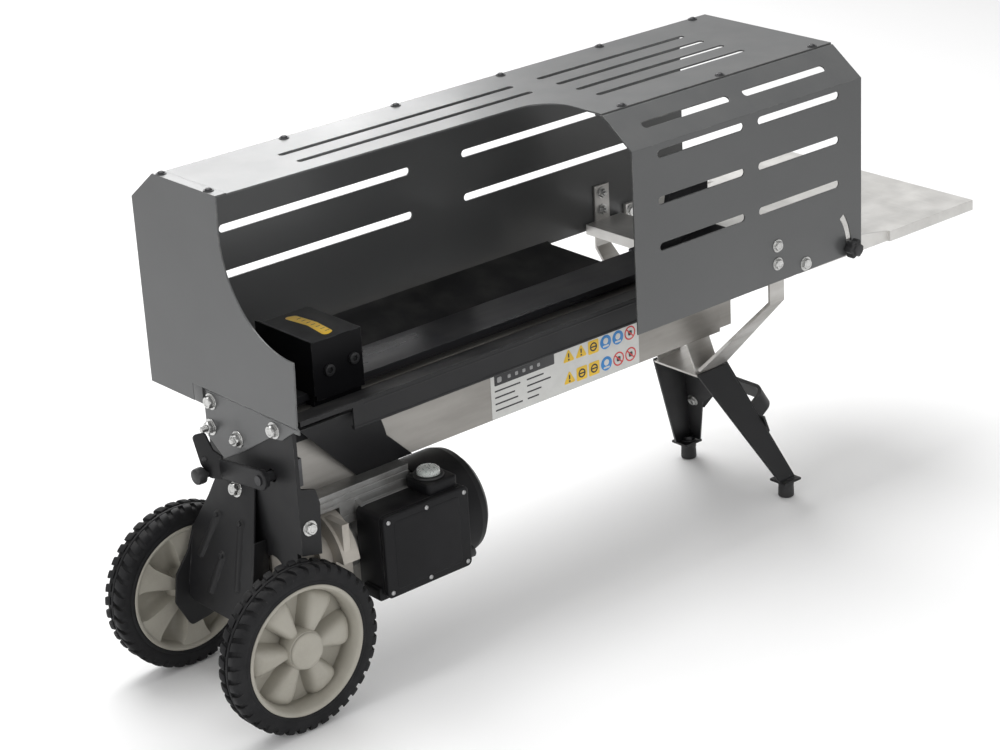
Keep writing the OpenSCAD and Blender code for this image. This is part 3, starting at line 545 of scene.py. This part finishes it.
def vane_wall(count, skin=2.4, floor=5.0):
    """The folded wall between hub and rim: broad vanes on the outer face, their hollows on the inner face."""
    stations = [(20.0, 7.4, 27.0), (30.0, 10.4, 27.4), (40.0, 13.8, 27.4), (50.0, 17.0, 27.0), (58.0, 19.4, 26.2),
                (64.0, 20.8, 24.2), (68.0, 21.2, 21.0), (71.4, 20.8, 15.0), (76.6, 21.6, 12.0)]
    sector = TURN / count
    across, between = 16, 6
    row_length = count * (across + between)
    verts, faces = [], []
    for inner in (0, 1):
        for reach, half, top in stations:
            spread = math.asin((half - 2.6 * inner) / reach)
            base = floor - skin * inner
            for i in range(count):
                middle = sector * i - math.radians(2)
                for k in range(across + between):
                    if k <= across:
                        share = 2 * k / across - 1
                        angle = middle + spread * share
                        height = base + (top - floor) * math.sqrt(max(0.0, 1 - abs(share) ** 3.6))
                    else:
                        angle = middle + spread + (sector - 2 * spread) * (k - across) / between
                        height = base
                    verts.append((reach * math.cos(angle), reach * math.sin(angle), height))
    rows = len(stations)
    for inner in (0, 1):
        start = inner * rows * row_length
        for row in range(rows - 1):
            for k in range(row_length):
                a = start + row * row_length + k
                b = start + row * row_length + (k + 1) % row_length
                quad = (a, a + row_length, b + row_length, b)
                faces.append(tuple(reversed(quad)) if inner else quad)
    for row in (0, rows - 1):
        for k in range(row_length):
            a = row * row_length + k
            b = row * row_length + (k + 1) % row_length
            quad = (a, b, b + rows * row_length, a + rows * row_length)
            faces.append(tuple(reversed(quad)) if row else quad)
    return mesh_from(verts, faces)


def hub_cap_mesh():
    return disc([(0, 36.3), (8, 36.2), (16.0, 35.7), (19.2, 35.1), (21.2, 34.2), (22.1, 33.0), (22.4, 31.4),
                 (0, 31.4)], 72)


for side_name, side_axes, sign in SIDES:
    wheel_frame = basis(WHEEL_X, sign * WHEEL_Y, WHEEL_Z, *side_axes)
    wheel_body = "wheel_" + side_name
    tyre = new_piece("tyre_tread_" + side_name, tyre_mesh(), wheel_body, "tyre_rubber", matrix=wheel_frame)
    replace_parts(tyre, "tyre_" + side_name)
    rim = new_piece("spoked_rim_" + side_name, rim_mesh(), wheel_body, "rim_plastic", matrix=wheel_frame)
    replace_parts(rim, "rim_" + side_name)
    cap = new_piece("hub_cap_" + side_name + "_face", hub_cap_mesh(), wheel_body, "rim_plastic", matrix=wheel_frame)
    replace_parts(cap, "hub_cap_" + side_name)


# ---------------------------------------------------------------- fasteners on the machine
def spot(x, y, z, axes):
    return basis(x, y, z, *axes)


screw_places = [(7, 107)] + [(12 + i * 168.6, 107) for i in range(1, 6)] + [(7, 14)]
screw_places += [(523 + i * 166, -107) for i in range(3)]
heads = []
for x, y in screw_places:
    heads.append((disc([(0, 0), (6.2, 0), (6.3, 0.5), (6.0, 0.9), (0, 0.9)], 32), spot(x, y, GUARD_TOP, TOP)))
    heads.append((shifted(pan_screw(4.4, 2.4), 0, 0, 0.8), spot(x, y, GUARD_TOP, TOP)))
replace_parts(fasten("guard_top_screws", "frame", "black_fasteners", heads), "guard_screws")

heads = []
for y, z, height, turn, stud in ((46, 355, 6, 0.2, 0), (51, 321.5, 6, 0.5, 9), (-2, 321.5, 6, 0.1, 5),
                                 (-76, 354.5, 6, 0.35, 0)):
    heads.append((hex_head(8.0, height, 1.1, turn), spot(3, y, z, WHEEL_END)))
    if stud:
        heads.append((shifted(threaded_stud(3.9, stud), 0, 0, height - 0.5), spot(3, y, z, WHEEL_END)))
bracket_up = (math.sin(BRACKET_TILT), 0, math.cos(BRACKET_TILT))
bracket_axes = ((0, -1, 0), bracket_up, (-bracket_up[2], 0, bracket_up[0]))
bracket_bolt = spot(BRACKET_X - 15 * bracket_up[0], 5, BRACKET_Z - 15 * bracket_up[2], bracket_axes)
heads.append((hex_head(8.0, 6.5, 1.1, 0.15), bracket_bolt))
heads.append((hex_head(7.4, 5.0, 1.0, 0.3), spot(18, -108, 238, FRONT)))
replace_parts(fasten("wheel_end_bolts", "frame", "zinc_fasteners", heads), "end_bolts")

heads = []
for sign, axes, inward in ((-1, FRONT, BACK), (1, BACK, FRONT)):
    for z in (397, 373):
        outer_face, inner_face = spot(728, sign * GUARD_WALL, z, axes), spot(728, sign * 159, z, inward)
        heads.append((hex_head(6.6, 3.6, 1.2, 0.2 * sign + z), outer_face))
        heads.append((hex_head(6.2, 4.4, 1.0, 0.1 + z), inner_face))
        heads.append((shifted(threaded_stud(2.9, 3.2), 0, 0, 5.0), inner_face))
    heads.append((hex_head(7.2, 4.0, 1.2, 0.3), spot(PIVOT_X, sign * GUARD_WALL, PIVOT_Z, axes)))
    heads.append((hex_head(6.8, 2.6, 0.8, 0.2), spot(PIVOT_X, sign * 156.2, PIVOT_Z, inward)))
    pin = disc([(0, 0), (4, 0), (4, 8.4), (0, 8.4)], 28)
    heads.append((pin, spot(PIVOT_X, sign * 156, PIVOT_Z, axes)))
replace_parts(fasten("guard_side_bolts", "frame", "zinc_fasteners", heads), "guard_bolts")

heads = []
for sign, axes in ((-1, FRONT), (1, BACK)):
    for x, z in ((104, 390), (140, 394)):
        place = spot(x, sign * 50, z, axes)
        heads.append((socket_screw(7, 4.2), place))
        heads.append((disc([(0, -7), (4.2, -7), (4.2, 0.1), (0, 0.1)], 24), place))
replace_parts(fasten("pusher_socket_screws", "pusher", "black_fasteners", heads), "pusher_bolts")

behind = (math.cos(LEG_LEAN), 0, math.sin(LEG_LEAN))
ahead = tuple(-v for v in behind)
upslope = (-behind[2], 0, behind[0])
x, z = LEG_X + 102 * behind[2], LEG_Z - 102 * behind[0]
heads = []
for sign in (-1, 1):
    heads.append((hex_head(6.6, 3.8, 1.2, 0.3 * sign), basis(x, sign * 60, z, (0, -1, 0), upslope, ahead)))
    far = basis(x + 6.1 * behind[0], sign * 60, z + 6.1 * behind[2], (0, 1, 0), upslope, behind)
    heads.append((hex_head(6.3, 4.2, 1.0, 0.4), far))
    heads.append((shifted(threaded_stud(2.9, 3.6), 0, 0, 4.6), far))
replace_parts(fasten("leg_flange_bolts", "frame", "zinc_fasteners", heads), "leg_bolts")


# ---------------------------------------------------------------- wheel bracket with pressed ridges
def ridge(y0, v0, y1, v1, half=5.6, high=2.9):
    """A pressed stiffening ridge between two points of the bracket's face, with a round pip at its upper end."""
    along = Vector((-y1 + y0, v1 - v0, 0))
    turn = math.atan2(along.y, along.x)
    length = along.length
    rings = [(half, 0.0), (half * 0.86, high * 0.22), (half * 0.62, high * 0.78), (half * 0.42, high)]
    steps = 16
    verts, faces = [], []
    for radius, height in rings:
        for i in range(steps + 1):
            a = math.pi / 2 - math.pi * i / steps
            verts.append((length + radius * math.cos(a), radius * math.sin(a), height))
        for i in range(steps + 1):
            a = -math.pi / 2 - math.pi * i / steps
            verts.append((radius * math.cos(a), radius * math.sin(a), height))
    count = 2 * (steps + 1)
    for level in range(len(rings) - 1):
        for i in range(count):
            j = (i + 1) % count
            faces.append((level * count + i, level * count + j, (level + 1) * count + j, (level + 1) * count + i))
    faces.append(tuple(range((len(rings) - 1) * count, len(rings) * count)))
    faces.append(tuple(reversed(range(count))))
    body = shifted(mesh_from(verts, faces), -y0, v0, 0, turn)
    pip = disc([(0, 0), (3.6, 0), (3.5, high + 0.9), (2.7, high + 1.8), (0, high + 2.1)], 24)
    return join([body, shifted(pip, -y0, v0, 0)])


face_outline = [(28, 0), (-42, 0), (-60, -40), (-88, -88), (-89, -118), (-88, -145), (-82, -176), (39, -176),
                (38, -105), (32, -45)]
face = plate([rounded(face_outline, [1, 4, 10, 8, 10, 10, 9, 4, 6, 6], 5)], 3.0, 0.7, 2)
face_parts = [shifted(face, 0, 0, -3.0)]
for y0, v0, y1, v1 in ((38, -56, 66, -114), (-8, -54, -10, -134), (23, -103, 41, -152)):
    face_parts.append(ridge(y0, v0, y1, v1))
bracket = join(face_parts)
bracket.transform(basis(BRACKET_X, 0, BRACKET_Z, *bracket_axes))
left_side = plate([rounded([(-13, 190), (5, 190), (5, 122), (13, 112), (13, 70), (-4, 66), (-30, 62), (-49, 98),
                            (-44, 134), (-24, 160)], [1, 2, 4, 3, 5, 3, 7, 8, 6, 2], 4)], 3.0, 0.6, 2)
left_side.transform(basis(0, 88.5, 0, *FRONT))
right_side = plate([rounded([(-13, 205), (5, 205), (5, 92), (-4, 84), (-30, 84)], [1, 2, 4, 3, 5], 4)], 3.0, 0.6, 2)
right_side.transform(basis(0, -35.5, 0, *FRONT))
bracket_piece = new_piece("ridged_wheel_bracket", join([bracket, left_side, right_side]), "frame", "frame_paint")
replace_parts(bracket_piece, "wheel_bracket")

# the end panel's lower back corner, closed down to its bottom edge
gusset = plate([[(-77, GUARD_BOTTOM), (-58, GUARD_BOTTOM), (-58, 372), (-77, 372)]], 3.0, 0.5, 2)
new_piece("end_panel_corner", gusset, "frame", "guard_paint", matrix=basis(3.2, 0, 0, *WHEEL_END))

# ---------------------------------------------------------------- control lever
swing = math.radians(-7)
arm_axes = ((0, -math.cos(swing), -math.sin(swing)), (0, -math.sin(swing), math.cos(swing)), (-1, 0, 0))
arm = plate([rounded([(-79, -12.4), (12.2, -12.4), (12.2, 12.4), (-79, 12.4)], [2, 12.2, 12.2, 2], 8)], 4.0, 1.1, 3)
arm.transform(basis(-10, LEVER_Y, LEVER_Z, *arm_axes))
turned = math.radians(30)
tab_axes = ((math.sin(turned), -math.cos(turned), 0), (0, 0, 1), (-math.cos(turned), -math.sin(turned), 0))
tab = plate([rounded([(3, 15), (-8, 22), (-16.5, 43), (-33, 38), (-25, 3), (-15, -14), (1, -14)],
                     [1, 5, 4, 5, 6, 6, 1], 5)], 4.0, 0.9, 3)
tab.transform(basis(-10.27, 17, 285, *tab_axes))
boss = disc([(0, -1), (11, -1), (11, 3.0), (0, 3.0)], 40)
boss.transform(basis(-7, LEVER_Y, LEVER_Z, *WHEEL_END))
lever_piece = new_piece("bent_control_lever", join([arm, tab, boss]), "lever", "frame_paint")
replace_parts(lever_piece, "control_lever")
grip = disc([(0, 0), (8.8, 0), (9.7, 0.8), (10.0, 2.4), (9.8, 9.0), (9.2, 11.0), (7.6, 12.0), (0, 12.2)], 48)
grip.transform(basis(-26, 33, 276, *WHEEL_END))
stem = disc([(0, -1), (5, -1), (5, 6.2), (0, 6.2)], 28)
stem.transform(basis(-20.5, 33, 276, *WHEEL_END))
rivet = pan_screw(3.6, 1.8, cross=False)
rivet.transform(basis(-12 - 19 * math.sin(turned) - 2 * math.cos(turned),
                      16 + 19 * math.cos(turned) - 2 * math.sin(turned), 295, *tab_axes))
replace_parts(new_piece("lever_grip", join([grip, stem, rivet]), "lever", "knob_plastic"), "lever_knob")


# ---------------------------------------------------------------- lock knobs
def knob_mesh():
    outline = []
    for i in range(96):
        a = TURN * i / 96
        r = 11.4 + 1.6 * math.cos(6 * a)
        outline.append((r * math.cos(a), r * math.sin(a)))
    body = plate([outline], 13.5, 3.0, 4)
    boss = disc([(0, 0), (8.0, 0), (8.0, 15.0), (7.2, 16.6), (5.5, 17.0), (0, 16.4)], 40)
    collar = disc([(0, -0.2), (8.6, -0.2), (8.8, 0.8), (8.4, 2.0), (0, 2.0)], 40)
    return join([body, boss, collar])


for side_name, side_axes, sign in SIDES:
    knob_frame = basis(LOCK_X, sign * (GUARD_WALL + 1.2), PIVOT_Z, *side_axes)
    knob = new_piece("lobed_knob_" + side_name, knob_mesh(), "lock_knob_" + side_name, "knob_plastic",
                     matrix=knob_frame)
    stud = new_piece("knob_stud_" + side_name, disc([(0, -8.5), (3.9, -8.5), (3.9, 0.3), (0, 0.3)], 28),
                     "lock_knob_" + side_name, "zinc_fasteners", matrix=knob_frame)
    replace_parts(knob, "star_knob_" + side_name)

# ---------------------------------------------------------------- switch box
BOX_X, BOX_Z, BOX_L, BOX_H = 104, 122, 128, 104
BOX_BACK, BOX_FRONT = -80, -132
box_frame = basis(BOX_X, BOX_BACK, BOX_Z, *FRONT)
outer = rounded(rectangle(0, 0, BOX_L, BOX_H), 7, 6)
inner = rounded(rectangle(3.2, 3.2, BOX_L - 3.2, BOX_H - 3.2), 5, 6)
shell = plate([outer, inner], 43.4, 0.8, 2)
housing = plate([rounded(rectangle(0, 0, 45, 46), 6, 6)], 14.4, 2.6, 3)
housing.transform(basis(179, -124, 225.6, *TOP))
shell.transform(box_frame)
lug = plate([rounded(rectangle(0, 0, 20, 16), [3, 3, 6, 3], 4)], 30, 1.0, 2)
lug.transform(basis(BOX_X - 4, -90, BOX_Z - 5, *FRONT))
box_shell = new_piece("switch_box_shell", join([shell, housing, lug]), "frame", "box_plastic")
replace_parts(box_shell, "switch_box")
cover_parts = [plate([outer], 7.8, 2.0, 4)]
panel = plate([rounded(rectangle(15, 9, BOX_L - 15, BOX_H - 9), 5, 6)], 0.5, 0.3, 2)
cover_parts.append(shifted(panel, 0, 0, 7.5))
lid = new_piece("switch_box_lid", shifted(join(cover_parts), 0, 0, 44.2), "frame", "box_plastic",
                matrix=box_frame)
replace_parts(lid, "switch_cover")
heads = []
for x in (7, 64, 121):
    for z in (7, 97):
        heads.append((pan_screw(2.9, 1.6), basis(BOX_X + x, BOX_FRONT, BOX_Z + z, *FRONT)))
lid_screws = fasten("lid_screws", "frame", "zinc_fasteners", heads)
lid_screws.data.materials[0] = finish["machined_steel"]
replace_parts(lid_screws, "cover_screws")

collar = lathe([(14.2, 0), (18.4, 0), (18.8, 0.8), (18.1, 2.6), (16.5, 3.4), (14.7, 3.4), (14.2, 2.8)], 56)
new_piece("button_collar", collar, "frame", "knob_plastic", matrix=basis(BUTTON_X, BUTTON_Y, 240, *TOP))
button = disc([(0, -7.5), (13.2, -7.5), (13.2, 7.6), (12.6, 8.6), (10.0, 9.2), (0, 9.4)], 48)
button_face = new_piece("green_button_face", button, "button", "button_plastic",
                        matrix=basis(BUTTON_X, BUTTON_Y, 238, *TOP))
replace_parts(button_face, "start_button")

boot_nodes = Nodes("clear_boot")
boot_nodes.bsdf.inputs["Base Color"].default_value = (0.93, 0.95, 0.93, 1)
boot_nodes.bsdf.inputs["Transmission Weight"].default_value = 0.55
boot_nodes.bsdf.inputs["IOR"].default_value = 1.41
boot_nodes.link(boot_nodes.remap(boot_nodes.noise(400), 0.3, 0.7, 0.22, 0.38), boot_nodes.bsdf.inputs["Roughness"])
boot_bump = boot_nodes.add("ShaderNodeBump")
boot_bump.inputs["Distance"].default_value = 0.00004
boot_nodes.link(boot_nodes.noise(900), boot_bump.inputs["Height"])
boot_nodes.link(boot_bump.outputs["Normal"], boot_nodes.bsdf.inputs["Normal"])
boot = lathe([(13.7, 0.4), (14.0, 6.2), (13.6, 9.4), (12.0, 11.0), (7.8, 11.9), (0.01, 12.2), (0.01, 11.4),
              (7.6, 11.1), (11.6, 10.2), (13.0, 9.0), (13.5, 6.2), (13.3, 0.4)], 56)
new_piece("button_boot", boot, "button", "button_plastic", material=boot_nodes.mat,
          matrix=basis(BUTTON_X, BUTTON_Y, 238.6, *TOP))

# ---------------------------------------------------------------- label plate with plain symbols
white_ink = flat_ink("label_white", (0.62, 0.62, 0.60), 0.35)
dark_ink = flat_ink("label_dark", (0.02, 0.02, 0.022), 0.35)
grey_ink = flat_ink("label_grey", (0.30, 0.30, 0.30), 0.4)
yellow_ink = flat_ink("label_yellow", (0.78, 0.50, 0.03), 0.35)
blue_ink = flat_ink("label_blue", (0.03, 0.22, 0.55), 0.35)
red_ink = flat_ink("label_red", (0.60, 0.05, 0.05), 0.35)
label_frame = basis(341, -52.02, 250, *FRONT)
LABEL_W, LABEL_H = 248, 61
FILM = 0.12


def print_on(name, meshes, ink, matrix, level, body="frame", slot_name="rim_plastic"):
    """Printed shapes lying a film's thickness above what they are printed on."""
    return new_piece(name, shifted(join(meshes), 0, 0, level * FILM), body, slot_name, material=ink, matrix=matrix)


def printed(loops):
    return plate(loops, FILM * 1.2, 0.03, 1)


print_on("label_sheet", [plate([rounded(rectangle(0, 0.5, LABEL_W, LABEL_H), 2, 4)], 0.3, 0.08, 1)], white_ink,
         label_frame, 0)
bars = [printed([rounded(rectangle(6, 43, 104, 57), 1.5, 3)])]
for row, shares in enumerate(((0.9, 0.6), (0.7, 0.85), (0.8, 0.5), (0.95, 0.4))):
    y = 35 - row * 8.4
    for column, share in enumerate(shares):
        x = 6 + column * 52
        bars.append(printed([rectangle(x, y, x + 46 * share, y + 2.0)]))
print_on("label_bars", bars, dark_ink, label_frame, 2.6)
marks = []
for x, r in ((14, 3.6), (30, 2.4), (42, 2.4), (54, 2.4), (66, 2.4), (78, 2.4)):
    marks.append(printed([rounded(rectangle(x - r, 50 - r, x + r, 50 + r), r * 0.5, 3)]))
print_on("label_marks", marks, grey_ink, label_frame, 4.0)


def triangle(cx, cy, r):
    corners = (TURN * 0.25, TURN * 0.5833, TURN * 0.9167)
    return rounded([(cx + r * math.cos(a), cy + r * math.sin(a)) for a in corners], 1.6, 4)


yellow, blue, red, dark, pale = [], [], [], [], []
columns = [128, 149, 170, 191, 212, 233]
for row, cy in enumerate((46, 17)):
    for column, cx in enumerate(columns):
        if column < 2 and not (row == 1 and column == 1):
            yellow.append(printed([triangle(cx, cy - 1.5, 11.5)]))
            dark.append(printed([circle(1.4, 16, cx, cy - 4.5)]))
            dark.append(printed([rounded(rectangle(cx - 1.1, cy - 2, cx + 1.1, cy + 4), 0.8, 2)]))
        elif column < 3:
            yellow.append(printed([rounded(rectangle(cx - 9, cy - 9, cx + 9, cy + 9), 2, 4)]))
            dark.append(printed([circle(6, 32, cx, cy), circle(4, 32, cx, cy)]))
            dark.append(printed([rectangle(cx - 4, cy - 0.9, cx + 4, cy + 0.9)]))
        elif column < 5 and not (row == 1 and column == 4):
            blue.append(printed([circle(9.4, 40, cx, cy)]))
            pale.append(printed([circle(4.2, 24, cx, cy + 1.5)]))
            pale.append(printed([rounded(rectangle(cx - 5, cy - 6.5, cx + 5, cy - 4), 1, 3)]))
        else:
            red.append(printed([circle(9.4, 40, cx, cy), circle(7.4, 40, cx, cy)]))
            dark.append(printed([rounded(rectangle(cx - 3.2, cy - 3.2, cx + 3.2, cy + 3.2), 1.4, 3)]))
            slash = printed([rectangle(-8, -0.9, 8, 0.9)])
            red.append(shifted(slash, cx, cy, FILM * 1.5, -math.pi / 4))
print_on("label_yellow_shapes", yellow, yellow_ink, label_frame, 2.6)
print_on("label_blue_discs", blue, blue_ink, label_frame, 2.6)
print_on("label_red_rings", red, red_ink, label_frame, 2.6)
print_on("label_dark_shapes", dark, dark_ink, label_frame, 4.0)
print_on("label_pale_shapes", pale, white_ink, label_frame, 4.0)

# a plain yellow band on the pusher's top
pusher_top = basis(85, -50, 428.02, *TOP)
print_on("pusher_band", [printed([rounded([(24, 8), (40, 14), (44, 50), (40, 86), (24, 92), (30, 50)], 6, 5)])],
         yellow_ink, pusher_top, 0, "pusher", "pusher_paint")
stripes = [printed([rectangle(33.5, 20 + i * 9, 39.5, 21.2 + i * 9)]) for i in range(7)]
print_on("pusher_band_lines", stripes, dark_ink, pusher_top, 1.4, "pusher", "pusher_paint")

# ---------------------------------------------------------------- rubber feet
for side_name, sign in (("front", -1), ("back", 1)):
    foot = disc([(0, 0), (9.6, 0), (10.5, 0.8), (10.8, 2.2), (10.5, 12), (10.2, 16), (10.7, 17), (10.7, 21.5),
                 (10.2, 23.4), (0, 23.4)], 48)
    foot_piece = new_piece("foot_pad_" + side_name, foot, "frame", "foot_rubber",
                           matrix=basis(FOOT_X, sign * FOOT_Y, 0, *TOP))
    if sign < 0:
        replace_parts(foot_piece, "rubber_feet")
    nut = hex_head(7.5, 5, 1.2, 0.4)
    new_piece("foot_nut_" + side_name, nut, "frame", "zinc_fasteners", finish["black_fasteners"],
              basis(FOOT_X, sign * FOOT_Y, 26.5, *TOP))

# ---------------------------------------------------------------- floor, lights and camera
ground_nodes = Nodes("studio_floor")
ground_nodes.link(ground_nodes.mix(ground_nodes.noise(1.5), (0.90, 0.90, 0.90), (0.93, 0.93, 0.93)),
                  ground_nodes.bsdf.inputs["Base Color"])
ground_nodes.bsdf.inputs["Roughness"].default_value = 0.7
ground_nodes.bsdf.inputs["Specular IOR Level"].default_value = 0.2
floor_mesh = mesh_from([(-30, -30, 0), (30, -30, 0), (30, 30, 0), (-30, 30, 0)], [(0, 1, 2, 3)], "floor")
floor = bpy.data.objects.new("studio_floor", floor_mesh)
floor_mesh.materials.append(ground_nodes.mat)
bpy.context.scene.collection.objects.link(floor)
floor.location.z = -0.5 * MM

world = bpy.data.worlds.new("studio")
bpy.context.scene.world = world
world.use_nodes = True
world.node_tree.nodes["Background"].inputs["Color"].default_value = (1, 1, 1, 1)
world.node_tree.nodes["Background"].inputs["Strength"].default_value = 0.55


def softbox(name, place, target, width, height, power):
    data = bpy.data.lights.new(name, "AREA")
    data.shape = "RECTANGLE"
    data.size = width
    data.size_y = height
    data.energy = power
    light = bpy.data.objects.new(name, data)
    bpy.context.scene.collection.objects.link(light)
    light.location = place
    light.rotation_euler = (Vector(target) - Vector(place)).to_track_quat("-Z", "Y").to_euler()


softbox("top_softbox", (0.0, 0.6, 2.6), (0, 0, 0.3), 2.6, 1.8, 62)
softbox("front_softbox", (-0.6, -3.2, 1.6), (0, 0, 0.3), 2.0, 1.4, 22)
softbox("left_softbox", (-3.0, -0.6, 1.2), (0, 0, 0.3), 1.4, 1.4, 11)
softbox("back_softbox", (1.2, 3.4, 1.8), (0, 0, 0.3), 2.4, 1.4, 40)

camera_data = bpy.data.cameras.new("photo_camera")
camera_data.sensor_width = 36
camera_data.lens = 94.58
camera_data.clip_end = 200
camera = bpy.data.objects.new("photo_camera", camera_data)
bpy.context.scene.collection.objects.link(camera)
azimuth, elevation, roll = (math.radians(a) for a in (-39.776, 22.356, -3.229))
back_axis = Vector((math.sin(azimuth) * math.cos(elevation), -math.cos(azimuth) * math.cos(elevation),
                    math.sin(elevation)))
right = (-back_axis).cross(Vector((0, 0, 1))).normalized()
up = right.cross(-back_axis)
right_rolled = right * math.cos(roll) + up * math.sin(roll)
up_rolled = up * math.cos(roll) - right * math.sin(roll)
pose = Matrix.Identity(4)
for column, vector in enumerate((right_rolled, up_rolled, back_axis)):
    for row in range(3):
        pose[row][column] = vector[row]
pose.translation = at(-1531, -2320, 1519)
camera.matrix_world = pose
bpy.context.scene.camera = camera
bpy.context.scene.view_settings.view_transform = "Standard"
